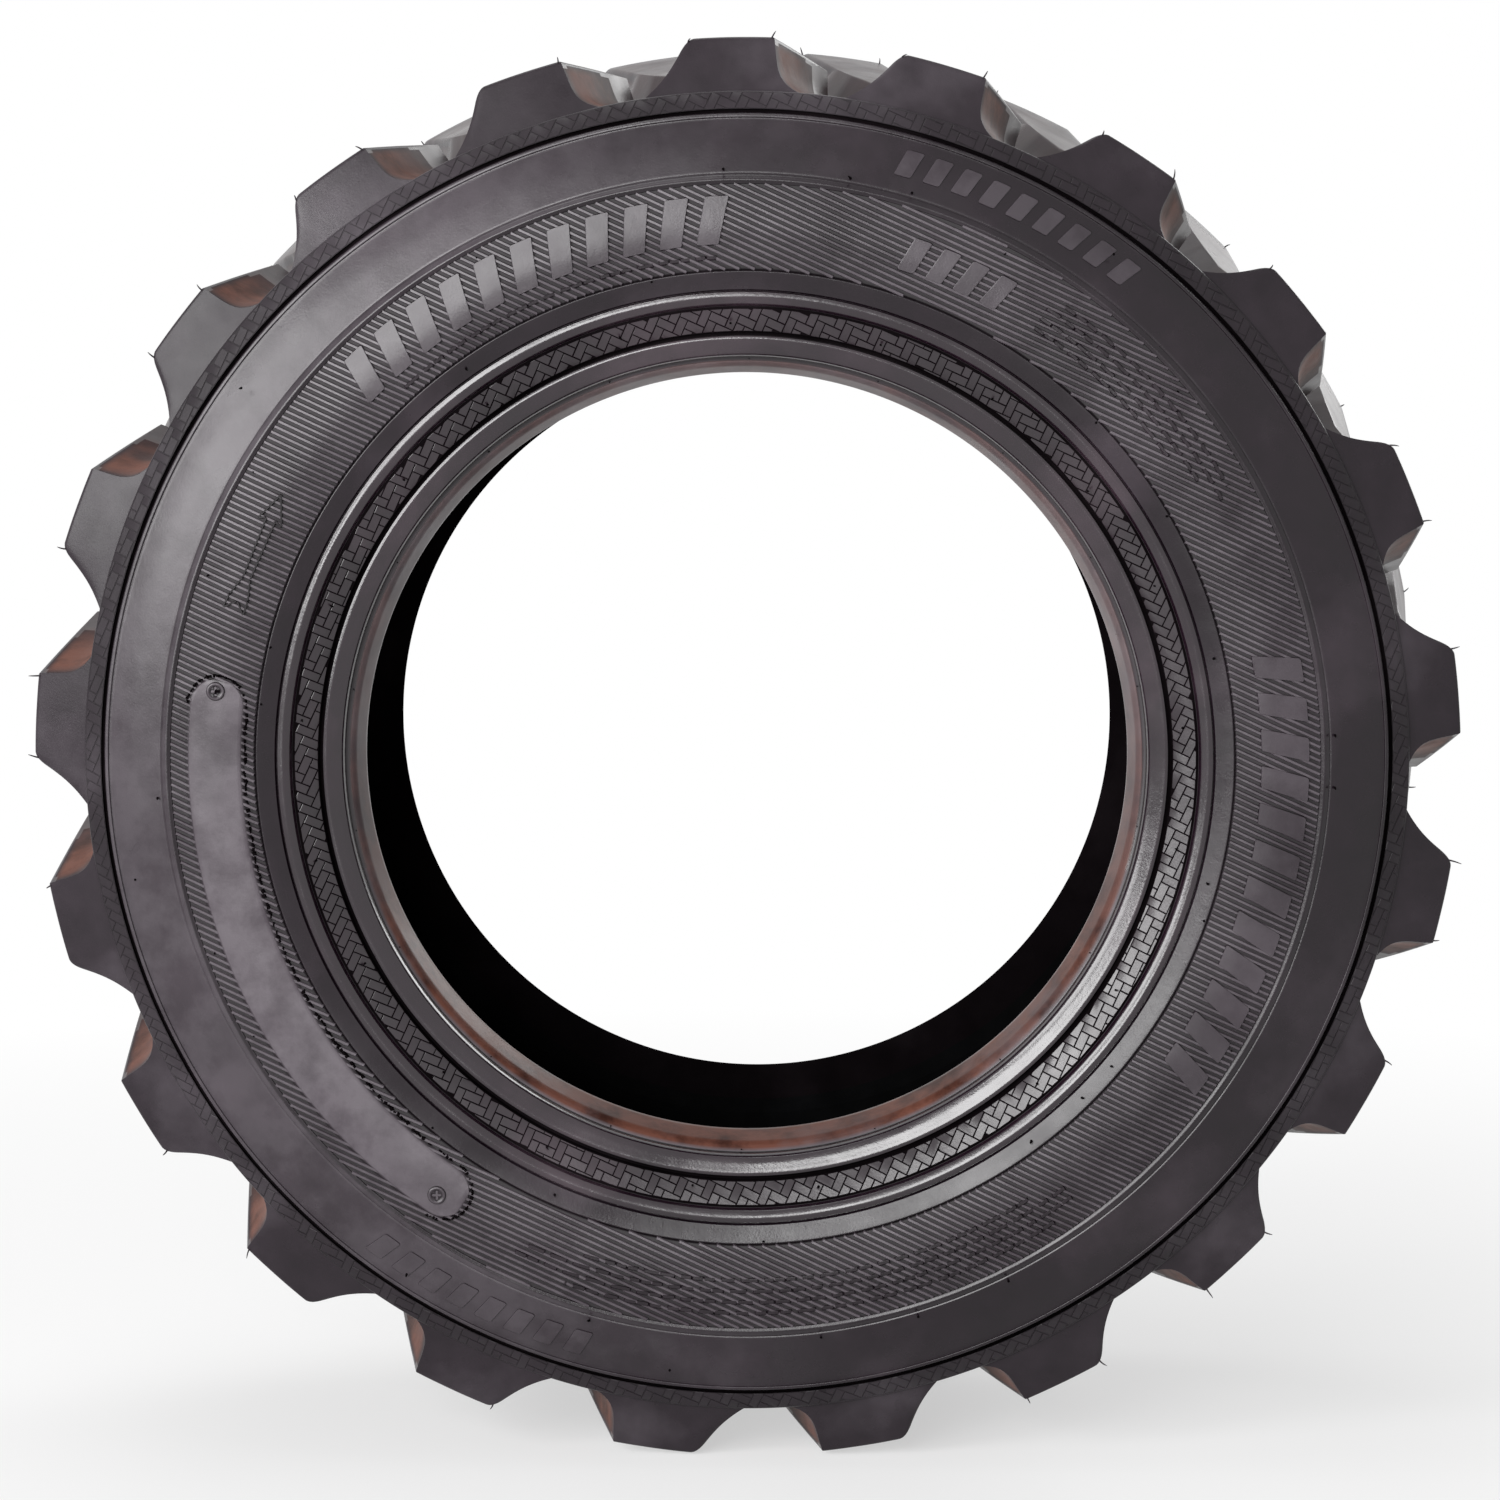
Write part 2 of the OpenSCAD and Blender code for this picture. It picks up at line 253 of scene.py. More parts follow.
class Shells:
    """Collects closed shells, each turned so that its normals point out."""

    def __init__(self):
        self.points, self.quads, self.tris, self.bloom, self.count = [], [], [], [], 0

    def add(self, pts, quads=(), tris=(), bloom=None):
        pts = np.asarray(pts, float).reshape(-1, 3)
        self.bloom.append(np.zeros(len(pts)) if bloom is None else np.ravel(bloom))
        q = np.asarray(quads, np.int64).reshape(-1, 4)
        t = np.asarray(tris, np.int64).reshape(-1, 3)
        every = np.concatenate([q[:, [0, 1, 2]], q[:, [0, 2, 3]], t])
        a, b, c = (pts[every[:, k]] - pts[0] for k in range(3))
        if np.einsum("ij,ij->i", a, np.cross(b, c)).sum() < 0:
            q, t = q[:, ::-1], t[:, ::-1]
        self.points.append(pts)
        self.quads.append(q + self.count)
        self.tris.append(t + self.count)
        self.count += len(pts)

    def build(self, name, materials, nodes, sharp=38):
        """materials: the main one, the one for patches and the one for the painted shade of deep
        grooves.
        """
        pts = np.concatenate(self.points) * MM
        quads, tris = np.concatenate(self.quads), np.concatenate(self.tris)
        loops = np.concatenate([quads.ravel(), tris.ravel()]).astype(np.int32)
        starts = np.concatenate([np.arange(len(quads)) * 4,
                                 len(quads) * 4 + np.arange(len(tris)) * 3]).astype(np.int32)
        mesh = bpy.data.meshes.new(name)
        mesh.vertices.add(len(pts))
        mesh.vertices.foreach_set("co", pts.ravel().astype(np.float32))
        mesh.loops.add(len(loops))
        mesh.loops.foreach_set("vertex_index", loops)
        mesh.polygons.add(len(starts))
        mesh.polygons.foreach_set("loop_start", starts)
        mesh.update(calc_edges=True)
        bloom = np.concatenate(self.bloom)
        mesh.attributes.new("bloom", "FLOAT", "POINT").data.foreach_set(
            "value", bloom.astype(np.float32))
        level = np.concatenate([bloom[quads].mean(axis=1), bloom[tris].mean(axis=1)])
        mesh.polygons.foreach_set("material_index",
                                  np.where(level > PATCH_LEVEL, 1,
                                           np.where(level < GROOVE_LEVEL, 2, 0)))
        for material in materials:
            mesh.materials.append(material)
        mesh.validate()
        mesh.polygons.foreach_set("use_smooth", np.ones(len(starts), bool))
        mesh.set_sharp_from_angle(angle=math.radians(sharp))
        obj = bpy.data.objects.new(name, mesh)
        bpy.context.collection.objects.link(obj)
        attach(obj, "root")
        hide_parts(*nodes)


def grid_quads(rows, cols, wrap_rows=False, wrap_cols=False):
    """Quads of a grid of points, row by row."""
    i = np.arange(rows if wrap_rows else rows - 1)[:, None]
    j = np.arange(cols if wrap_cols else cols - 1)[None, :]
    i2, j2 = (i + 1) % rows, (j + 1) % cols
    return np.stack([i * cols + j, i * cols + j2, i2 * cols + j2, i2 * cols + j],
                    axis=-1).reshape(-1, 4)


def border(rows, cols):
    """The outer places of a grid in order, once round."""
    return ([(i, 0) for i in range(rows)] + [(rows - 1, j) for j in range(1, cols)]
            + [(i, cols - 1) for i in range(rows - 2, -1, -1)]
            + [(0, j) for j in range(cols - 2, 0, -1)])


def ring(shells, section, segments, side, bloom):
    """A closed section of [radius, width], turned once round the axle."""
    sec = np.array([list(p) for p in section], float)
    keep = [0] + [k for k in range(1, len(sec)) if np.linalg.norm(sec[k] - sec[k - 1]) > 1e-3]
    sec = sec[keep]
    angle = np.arange(segments)[None, :] * 360 / segments
    pts = polar(sec[:, :1], angle, sec[:, 1:], side)
    shells.add(pts, grid_quads(len(sec), segments, True, True),
               bloom=bloom(sec[:, :1], angle, sec[:, 1:]) + 0 * pts[..., 0])


BAR_STEP = 5.0


def bar(shells, side, surface, a, b, wide, high, bloom=0.0):
    """A flat-topped raised line from a to b in the plane of the side."""
    a, b = np.array(a, float), np.array(b, float)
    length = np.linalg.norm(b - a)
    along = (b - a) / length
    across = np.array([along[1], -along[0]])
    half = wide / 2
    form = np.array([[-half, -ROOT], [-half * 0.86, high * 0.5], [-half * 0.5, high],
                     [half * 0.5, high], [half * 0.86, high * 0.5], [half, -ROOT]])
    n, end = max(int(length / BAR_STEP), 1), min(0.5, length / 4)
    v = np.concatenate([[0], np.linspace(end, length - end, n + 1), [length]])
    lift = np.ones(len(v))
    lift[[0, -1]] = 0
    xz = a + v[:, None, None] * along + form[:, 0][None, :, None] * across
    r = np.hypot(xz[..., 0], xz[..., 1])
    up = np.where(form[:, 1] > 0, form[:, 1] * lift[:, None] - ROOT * (1 - lift[:, None]),
                  form[:, 1])
    pts = np.stack([xz[..., 0], -side * (surface(r) + up), xz[..., 1]], axis=-1)
    m = len(form)
    cap = [[0, j, j + 1] for j in range(1, m - 1)]
    tail = (len(v) - 1) * m
    cap += [[tail, tail + j + 1, tail + j] for j in range(1, m - 1)]
    shells.add(pts, grid_quads(len(v), m, False, True), cap, np.full(len(v) * m, bloom))


def ribs(shells, side, surface, r_in, r_out, pitch, tilt, wide, high):
    """Straight fine ribs across a ring-shaped band, all parallel in the plane of the side, made
    paler with painted sheen.
    """
    t = math.radians(tilt)
    along, across = np.array([math.sin(t), math.cos(t)]), np.array([math.cos(t), -math.sin(t)])
    for k in range(-int(r_out / pitch), int(r_out / pitch) + 1):
        u = k * pitch
        outer = math.sqrt(max(r_out ** 2 - u * u, 0))
        inner = math.sqrt(r_in ** 2 - u * u) if abs(u) < r_in else None
        spans = [(-outer, outer)] if inner is None else [(-outer, -inner), (inner, outer)]
        for v0, v1 in spans:
            if v1 - v0 > 3:
                bar(shells, side, surface, v0 * along + u * across, v1 * along + u * across,
                    wide, high, bloom=0.85)


def clip(poly, normal, limit):
    """The part of a convex polygon with dot(point, normal) under limit."""
    out = []
    for a, b in zip(poly, poly[1:] + poly[:1]):
        da, db = limit - a @ normal, limit - b @ normal
        if da >= 0:
            out.append(a)
        if da * db < 0:
            out.append(a + (b - a) * da / (da - db))
    return out


# the value of the bricks is painted shade: the raised bricks are a little darker
BEVEL, SMALLEST_BRICK, BRICK_SHADE = 0.28, 2.5, -0.15


def bricks(shells, side, surface, r_in, r_out, cell, tilt, high, gap):
    """A herringbone of small raised bricks over a ring-shaped band."""
    t = math.radians(tilt)
    ex, ey = np.array([math.sin(t), math.cos(t)]), np.array([math.cos(t), -math.sin(t)])
    n = int(r_out / cell) + 3
    for i in range(-n, n):
        for j in range(-n, n):
            kind = (i - j) % 4
            if kind == 0:
                lo, hi = np.array([i, j]), np.array([i + 2, j + 1])
            elif kind == 2:
                lo, hi = np.array([i, j - 1]), np.array([i + 1, j + 1])
            else:
                continue
            mid = (lo + hi) / 2 * cell
            r = np.hypot(*mid)
            if not r_in - cell * 1.3 < r < r_out + cell * 1.3:
                continue
            lo, hi = lo * cell + gap / 2, hi * cell - gap / 2
            poly = [np.array(p) for p in [(lo[0], lo[1]), (hi[0], lo[1]), (hi[0], hi[1]),
                                          (lo[0], hi[1])]]
            out = mid / r
            poly = clip(poly, out, r_out)
            if len(poly) > 2:
                poly = clip(poly, -out, -r_in)
            if len(poly) < 3:
                continue
            p = np.array(poly)
            after = np.roll(p, -1, axis=0)
            area = 0.5 * abs(np.sum(p[:, 0] * after[:, 1] - p[:, 1] * after[:, 0]))
            if area < SMALLEST_BRICK:
                continue
            c = p.mean(axis=0)
            inset = p + (c - p) * np.minimum(BEVEL / np.linalg.norm(c - p, axis=1), 0.4)[:, None]
            rings = [(p, -ROOT), (p, high - 0.2), (inset, high)]
            pts = []
            for q, up in rings:
                xz = q[:, :1] * ex + q[:, 1:] * ey
                w = surface(np.hypot(xz[:, 0], xz[:, 1])) + up
                pts.append(np.stack([xz[:, 0], -side * w, xz[:, 1]], axis=-1))
            m = len(p)
            quads = grid_quads(3, m, False, True)
            caps = [[0, k + 1, k] for k in range(1, m - 1)]
            caps += [[2 * m, 2 * m + k, 2 * m + k + 1] for k in range(1, m - 1)]
            shells.add(np.concatenate(pts), quads, caps, np.full(3 * m, BRICK_SHADE))


def pad(shells, side, surface, r_mid, half_r, a0, a1, high, corner, edge=0.8, lift=None,
        n_along=None, n_across=9, slant=0.0, bloom=0.0, rim_light_and_shade=-0.4):
    """A raised pad on the sidewall, a0 to a1 in degrees, with rounded corners and edges darkened
    as painted shade.
    """
    length = math.radians(a1 - a0) * r_mid
    n_along = n_along or max(int(length / 4), 6)
    # closer together where the outline bends and the edge falls off
    x = np.concatenate([np.linspace(0, corner, 7)[:-1],
                        np.linspace(corner, length - corner, n_along),
                        np.linspace(length - corner, length, 7)[1:]])
    x = np.concatenate([[0.02 * edge], x[(x > 0.05) & (x < length - 0.05)],
                        [length - 0.02 * edge]])
    end = np.minimum(x, length - x)
    inset = np.where(end < corner,
                     corner - np.sqrt(np.maximum(corner ** 2 - (corner - end) ** 2, 0)), 0)
    half = np.maximum(half_r - inset, 0.05)
    q = np.concatenate([[-1, -0.999], np.linspace(-1, 1, n_across)[1:-1], [0.999, 1]])
    by_edge = np.abs(np.abs(q) - 0.999) < 1e-6
    r = r_mid + half[:, None] * np.sign(q) * np.minimum(np.abs(q), 1)
    near = np.minimum(half[:, None] * (1 - np.abs(q)), end[:, None])
    r = np.where(by_edge, r_mid + np.sign(q) * np.maximum(half[:, None] - edge, 0), r)
    near = np.where(by_edge, np.minimum(edge, end[:, None]), near)
    rise = np.sqrt(np.clip(near / edge, 0, 1) * (2 - np.clip(near / edge, 0, 1)))
    angle = a0 + np.degrees(x / r_mid)[:, None] + slant * (r - r_mid)
    w = surface(r) + high * rise - 0.3 * (1 - rise)
    if lift is not None:
        w = w + lift(angle, r) * rise
    top = polar(r, angle, w, side)
    low = polar(r, angle, surface(r) - 1.2, side)
    rows, cols = r.shape
    n = rows * cols
    tq = grid_quads(rows, cols)
    ids = np.array([i * cols + j for i, j in border(rows, cols)])
    nxt = np.roll(ids, -1)
    wall = np.stack([ids, ids + n, nxt + n, nxt], axis=-1)
    shade = np.where(near < edge * 0.4, rim_light_and_shade, bloom).ravel()
    shells.add(np.concatenate([top.reshape(-1, 3), low.reshape(-1, 3)]),
               np.concatenate([tq, wall[:, ::-1], tq[:, ::-1] + n]),
               bloom=np.concatenate([shade, np.full(n, rim_light_and_shade)]))


def block_row(shells, side, surface, r_mid, half_r, a0, a1, count, high):
    """A row of plain slanted blocks, made paler with painted sheen and darker at the edges with
    painted shade.
    """
    step = (a1 - a0) / count
    for k in range(count):
        start = a0 + k * step
        pad(shells, side, surface, r_mid, half_r, start, start + step * 0.62, high, corner=1.6,
            edge=0.5, n_along=4, n_across=6, slant=0.05, bloom=0.5)


def dash_row(shells, side, surface, r, a0, a1, high):
    """A broken raised line of low dashes."""
    a = a0
    while a < a1:
        b = min(a + rng.uniform(1.0, 4.2), a1)
        n = max(int((b - a) / 1.2), 1)
        for k in range(n):
            c, d = (math.radians(a + (b - a) * q / n) for q in (k, k + 0.97))
            bar(shells, side, surface, [r * math.sin(c), r * math.cos(c)],
                [r * math.sin(d), r * math.cos(d)], 2.4, high)
        a = b + 0.55


def outline(shells, side, surface, r, angle, pts, wide, high):
    """A raised line through pts, given along and across the running direction at [r, angle],
    darkened as painted shade.
    """
    t = math.radians(angle)
    mid = np.array([math.sin(t), math.cos(t)]) * r
    along, out = np.array([math.cos(t), -math.sin(t)]), np.array([math.sin(t), math.cos(t)])
    places = [mid + along * x + out * y for x, y in pts]
    for a, b in zip(places, places[1:] + places[:1]):
        bar(shells, side, surface, a, b, wide, high, bloom=-0.8)


def rough_line(shells, side, surface, pts, wide, high):
    """Torn flash along a line of [radius, angle] points, painted black as shade."""
    places = []
    for r, a in pts:
        t, q = math.radians(a), r + rng.uniform(-0.6, 0.6)
        places.append([q * math.sin(t), q * math.cos(t)])
    for a, b in zip(places, places[1:]):
        if rng.random() < 0.85:
            bar(shells, side, surface, a, b, wide * rng.uniform(0.5, 1.4),
                high * rng.uniform(0.4, 1.3), bloom=-0.95)


def screw_print(shells, side, surface, r0, angle0):
    """The print of a screw head: a raised ring round a dished face with a sunk cross."""
    rr = np.array([0.0, 0.5, 0.9, 1.3, 1.8, 2.4, 2.9, 3.3, 3.9, 4.4, 4.8, 5.1, 5.5, 6.0])
    phi = np.arange(48) * 2 * PI / 48
    x, y = rr[:, None] * np.cos(phi), rr[:, None] * np.sin(phi)
    cross = ((np.minimum(np.abs(x), np.abs(y)) < 0.75) & (rr[:, None] < 2.7)) * 1.0
    high = np.interp(rr, [0, 3.1, 3.6, 4.3, 4.8, 5.1, 5.5, 6.0],
                     [0.75, 0.7, 1.2, 1.2, 0.8, -0.3, -0.3, -0.6])[:, None] - 0.7 * cross
    t = math.radians(angle0)
    px = r0 * math.sin(t) + x
    pz = r0 * math.cos(t) + y
    w = surface(np.hypot(px, pz)) + 0.8
    top = np.stack([px, -side * (w + high), pz], axis=-1)
    low = np.stack([px[-1], -side * (w[-1] - 2), pz[-1]], axis=-1)
    n, m = len(rr), len(phi)
    # painted shade in the sunk cross and round the print, painted highlight on the raised ring
    shade = np.interp(rr, [0, 3.0, 3.5, 4.5, 4.9, 6],
                      [-0.1, -0.1, 0.7, 0.7, -1, -1])[:, None] - 0.8 * cross
    caps = [[n * m, n * m + k + 1, n * m + k] for k in range(1, m - 1)]
    quads = grid_quads(n, m, False, True)
    wall = (n - 1) * m + grid_quads(2, m, False, True)
    shells.add(np.concatenate([top.reshape(-1, 3), low]), np.concatenate([quads, wall]), caps,
               np.concatenate([shade.ravel(), np.full(m, -1.0)]))


HAIR_STEPS, HAIR_SIDES = 4, 6


def hair(shells, foot, out, length, thick, bend, bloom=-0.3):
    """A rubber vent hair that tapers and bends over."""
    out = out / np.linalg.norm(out)
    a = np.cross(out, [0.3, 0.5, 0.8])
    a /= np.linalg.norm(a)
    b = np.cross(out, a)
    turns = [2 * PI * s / HAIR_SIDES for s in range(HAIR_SIDES)]
    rings = []
    for k in range(HAIR_STEPS + 1):
        t = k / HAIR_STEPS
        centre = foot + out * (length * t - ROOT * (1 - t)) + bend * t * t
        rad = thick / 2 * (1 - 0.45 * t) if k < HAIR_STEPS else thick / 2 * 0.3
        rings += [centre + rad * (a * math.cos(q) + b * math.sin(q)) for q in turns]
    quads = grid_quads(HAIR_STEPS + 1, HAIR_SIDES, False, True)
    top = HAIR_STEPS * HAIR_SIDES
    caps = [[0, s + 1, s] for s in range(1, HAIR_SIDES - 1)]
    caps += [[top, top + s, top + s + 1] for s in range(1, HAIR_SIDES - 1)]
    shells.add(rings, quads, caps, np.full(len(rings), bloom))


def side_hair(shells, side, r, angle, w, length, thick):
    """A short dark hair that stands out from the side."""
    foot = polar(r, angle, w, side)
    bend = np.array([rng.uniform(-1, 1), 0, rng.uniform(-1, 1)]) * length * 0.5
    hair(shells, foot, np.array([0, -side, 0.0]), length, thick, bend, bloom=-0.9)


# ---------------------------------------------------------------- materials


STAIN_DEPTH, GRAIN, BUMP_HEIGHT = 0.225, 0.35, 0.0006
# painted shade: the near-black colour of grooves, seams and the inside
GROOVE_SHADE_BLACK, GROOVE_ROUGH = (0.004, 0.003, 0.0035), 0.6


def rubber(name, colour, tint, gloss, bump=0.25, spec=0.5, second=None):
    """Moulded rubber: stains in the colour, uneven gloss and a fine grain.

    second is the look where the value is above 0: its dark colour, its pale one and its gloss.
    Below 0 the colour is painted shade that goes towards black.
    """
    mat = bpy.data.materials.new(name)
    mat.use_nodes = True
    nodes, links = mat.node_tree.nodes, mat.node_tree.links
    bsdf = nodes["Principled BSDF"]
    bsdf.inputs["Specular IOR Level"].default_value = spec
    coords = nodes.new("ShaderNodeTexCoord")

    def noise(scale, detail, rough=0.55):
        n = nodes.new("ShaderNodeTexNoise")
        n.inputs["Scale"].default_value = scale
        n.inputs["Detail"].default_value = detail
        n.inputs["Roughness"].default_value = rough
        links.new(coords.outputs["Object"], n.inputs["Vector"])
        return n

    def ramp(source, stops):
        r = nodes.new("ShaderNodeValToRGB")
        for _ in range(len(stops) - 2):
            r.color_ramp.elements.new(0.5)
        for e, (pos, col) in zip(r.color_ramp.elements, stops):
            e.position = pos
            e.color = (*col, 1) if len(col) == 3 else (col[0], col[0], col[0], 1)
        links.new(source, r.inputs["Fac"])
        return r

    big = noise(9, 5)
    small = noise(55, 4)
    base = ramp(big.outputs["Fac"], [(0.34, [c * (1 - STAIN_DEPTH) for c in colour]),
                                     (0.52, colour), (0.68, tint)])
    speck = ramp(small.outputs["Fac"], [(0.3, [0.82]), (0.7, [1.15])])
    mix = nodes.new("ShaderNodeMix")
    mix.data_type, mix.blend_type = "RGBA", "MULTIPLY"
    mix.inputs[0].default_value = 1
    links.new(base.outputs["Color"], mix.inputs[6])
    links.new(speck.outputs["Color"], mix.inputs[7])
    rough = ramp(noise(22, 6, 0.6).outputs["Fac"],
                 [(0.3, [gloss - 0.09]), (0.7, [gloss + 0.1])])
    final, final_rough = mix.outputs[2], rough.outputs["Color"]
    if second:
        bloom = nodes.new("ShaderNodeAttribute")
        bloom.attribute_name = "bloom"

        def blend(fac, a, b):
            m = nodes.new("ShaderNodeMix")
            m.data_type = "RGBA"
            links.new(fac, m.inputs[0])
            links.new(a, m.inputs[6])
            links.new(b, m.inputs[7])
            return m.outputs[2]

        def maths(kind, a, b):
            m = nodes.new("ShaderNodeMath")
            m.operation = kind
            m.use_clamp = True
            links.new(a, m.inputs[0])
            if isinstance(b, float):
                m.inputs[1].default_value = b
            else:
                links.new(b, m.inputs[1])
            return m.outputs[0]

        dark, pale, shine = second
        patch = ramp(noise(31, 6, 0.65).outputs["Fac"], [(0.36, dark), (0.56, pale)])
        where = ramp(noise(17, 5, 0.6).outputs["Fac"], [(0.32, [0.55]), (0.5, [1.0])])
        fac = maths("MULTIPLY", bloom.outputs["Fac"], where.outputs["Color"])
        final = blend(fac, final, patch.outputs["Color"])
        gleam = ramp(noise(26, 5, 0.6).outputs["Fac"],
                     [(0.3, [shine - 0.06]), (0.7, [shine + 0.08])])
        final_rough = blend(fac, final_rough, gleam.outputs["Color"])
        # painted shade: below 0 the colour goes towards black and the gloss dulls
        shade_amount = maths("MULTIPLY", bloom.outputs["Fac"], -0.85)
        black = nodes.new("ShaderNodeRGB")
        black.outputs[0].default_value = (*GROOVE_SHADE_BLACK, 1)
        final = blend(shade_amount, final, black.outputs[0])
        dull = nodes.new("ShaderNodeRGB")
        dull.outputs[0].default_value = (GROOVE_ROUGH, GROOVE_ROUGH, GROOVE_ROUGH, 1)
        final_rough = blend(maths("MULTIPLY", bloom.outputs["Fac"], -2.2), final_rough,
                            dull.outputs[0])
    links.new(final, bsdf.inputs["Base Color"])
    links.new(final_rough, bsdf.inputs["Roughness"])
    fine = noise(900, 3)
    soft = noise(70, 3)
    add = nodes.new("ShaderNodeMath")
    add.operation = "MULTIPLY_ADD"
    add.inputs[1].default_value = GRAIN
    links.new(fine.outputs["Fac"], add.inputs[0])
    links.new(soft.outputs["Fac"], add.inputs[2])
    b = nodes.new("ShaderNodeBump")
    b.inputs["Strength"].default_value = bump
    b.inputs["Distance"].default_value = BUMP_HEIGHT
    links.new(add.outputs[0], b.inputs["Height"])
    links.new(b.outputs["Normal"], bsdf.inputs["Normal"])
    return mat


# second looks: dark colour, pale colour, gloss
# painted reflection: the brown that shows on the bead base, most of all low down
BEAD_REFLECTION_BROWN = [(0.030, 0.010, 0.007), (0.11, 0.042, 0.029), 0.34]
# painted reflection: the brown of the lug flanks and tops; a faint tint on the groove floor
BROWN = [(0.060, 0.025, 0.018), (0.145, 0.060, 0.043), 0.42]
# worn look of the plate, and painted sheen: the paler ribs, blocks and left half of the smooth
# band
WORN_AND_SHEEN = [(0.047, 0.037, 0.045), (0.088, 0.075, 0.086), 0.34]
# first looks: colour and tint
SIDE_COLOURS = (0.009, 0.005, 0.008), (0.027, 0.019, 0.025)
RIM_COLOURS = (0.010, 0.004, 0.008), (0.030, 0.018, 0.025)
# painted reflection: the pale colour of the bead base
TOE_REFLECTION_COLOURS = (0.11, 0.095, 0.104), (0.17, 0.153, 0.165)
TREAD_COLOURS = (0.020, 0.015, 0.019), (0.048, 0.040, 0.047)
side_rubber = rubber("sidewall_rubber", *SIDE_COLOURS, 0.26, spec=0.37, second=WORN_AND_SHEEN)
rim_rubber = rubber("rim_strip_rubber", *RIM_COLOURS, 0.18, spec=0.68, second=BEAD_REFLECTION_BROWN)
# painted reflection: the bead base, pale all round with its own gloss turned low
toe_painted_reflection = rubber("rim_strip_painted_reflection", *TOE_REFLECTION_COLOURS, 0.3, spec=0.12, second=BEAD_REFLECTION_BROWN)
tread_rubber = rubber("tread_rubber", *TREAD_COLOURS, 0.31, spec=0.22, second=BROWN)
# painted reflection: the brown patches of the lug flanks, with little gloss of their own
flank_painted_reflection = rubber("tread_painted_reflection", *TREAD_COLOURS, 0.4, spec=0.03, second=BROWN)
# painted shade: a near-black, glossless rubber for the darkest grooves and seams
painted_shade_rubber = rubber("painted_shade_rubber", GROOVE_SHADE_BLACK, (0.008, 0.006, 0.007), 0.8, spec=0.0)
# painted shade: the inside of the tyre is made near black with no gloss
liner_shade_black = rubber("liner_rubber", (0.003, 0.003, 0.0032), (0.006, 0.006, 0.0065), 0.8, bump=0.5,
                     spec=0.0)
gum = rubber("soft_gum", (0.03, 0.028, 0.03), (0.045, 0.04, 0.042), 0.55)


def cord_fabric(name, colour, angle, pitch):
    """Rubbered fabric: parallel cords wound round the tyre at an angle."""
    mat = bpy.data.materials.new(name)
    mat.use_nodes = True
    nodes, links = mat.node_tree.nodes, mat.node_tree.links
    bsdf = nodes["Principled BSDF"]
    bsdf.inputs["Roughness"].default_value = 0.75
    coords = nodes.new("ShaderNodeTexCoord")
    turn = nodes.new("ShaderNodeMapping")
    turn.inputs["Rotation"].default_value = (0, 0, math.radians(angle))
    links.new(coords.outputs["Object"], turn.inputs["Vector"])
    wave = nodes.new("ShaderNodeTexWave")
    wave.inputs["Scale"].default_value = 1 / pitch / PI
    wave.inputs["Distortion"].default_value = 0.6
    links.new(turn.outputs["Vector"], wave.inputs["Vector"])
    ramp = nodes.new("ShaderNodeValToRGB")
    ramp.color_ramp.elements[0].color = (*[c * 0.35 for c in colour], 1)
    ramp.color_ramp.elements[1].color = (*colour, 1)
    links.new(wave.outputs["Fac"], ramp.inputs["Fac"])
    links.new(ramp.outputs["Color"], bsdf.inputs["Base Color"])
    b = nodes.new("ShaderNodeBump")
    b.inputs["Distance"].default_value = 0.0005
    links.new(wave.outputs["Fac"], b.inputs["Height"])
    links.new(b.outputs["Normal"], bsdf.inputs["Normal"])
    return mat


def wire_metal():
    """Bronze-plated steel wire with uneven plating."""
    mat = bpy.data.materials.new("bead_wire")
    mat.use_nodes = True
    nodes, links = mat.node_tree.nodes, mat.node_tree.links
    bsdf = nodes["Principled BSDF"]
    bsdf.inputs["Metallic"].default_value = 1
    bsdf.inputs["Roughness"].default_value = 0.35
    noise = nodes.new("ShaderNodeTexNoise")
    noise.inputs["Scale"].default_value = 160
    coords = nodes.new("ShaderNodeTexCoord")
    links.new(coords.outputs["Object"], noise.inputs["Vector"])
    ramp = nodes.new("ShaderNodeValToRGB")
    ramp.color_ramp.elements[0].color = (0.42, 0.27, 0.14, 1)
    ramp.color_ramp.elements[1].color = (0.72, 0.56, 0.34, 1)
    links.new(noise.outputs["Fac"], ramp.inputs["Fac"])
    links.new(ramp.outputs["Color"], bsdf.inputs["Base Color"])
    return mat


# name, colour, angle of the cords, pitch of the cords in metres
ply_a = cord_fabric("ply_cord_a", (0.30, 0.24, 0.17), 38, 0.0012)
ply_b = cord_fabric("ply_cord_b", (0.30, 0.24, 0.17), -38, 0.0012)
breaker_a = cord_fabric("breaker_cord_a", (0.28, 0.23, 0.17), 30, 0.0018)
breaker_b = cord_fabric("breaker_cord_b", (0.28, 0.23, 0.17), -30, 0.0018)
bead_cloth = cord_fabric("bead_fabric", (0.26, 0.22, 0.16), 45, 0.0010)
bronze = wire_metal()

node_materials = {
    "inner_liner": liner_shade_black, "body_ply_1": ply_a, "body_ply_2": ply_b, "body_ply_3": ply_a,
    "body_ply_4": ply_b, "breaker_1": breaker_a, "breaker_2": breaker_b, "cushion_gum": gum}
for hand in ("right", "left"):
    node_materials.update({
        f"{hand}_bead_wires": bronze, f"{hand}_bead_rubber": gum, f"{hand}_bead_wrap": bead_cloth,
        f"{hand}_bead_filler": gum, f"{hand}_chafer": bead_cloth})
for node, material in node_materials.items():
    mesh_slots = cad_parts[node].material_slots
    for k in range(len(mesh_slots)):
        mesh_slots[k].material = material

# ---------------------------------------------------------------- sidewalls and beads

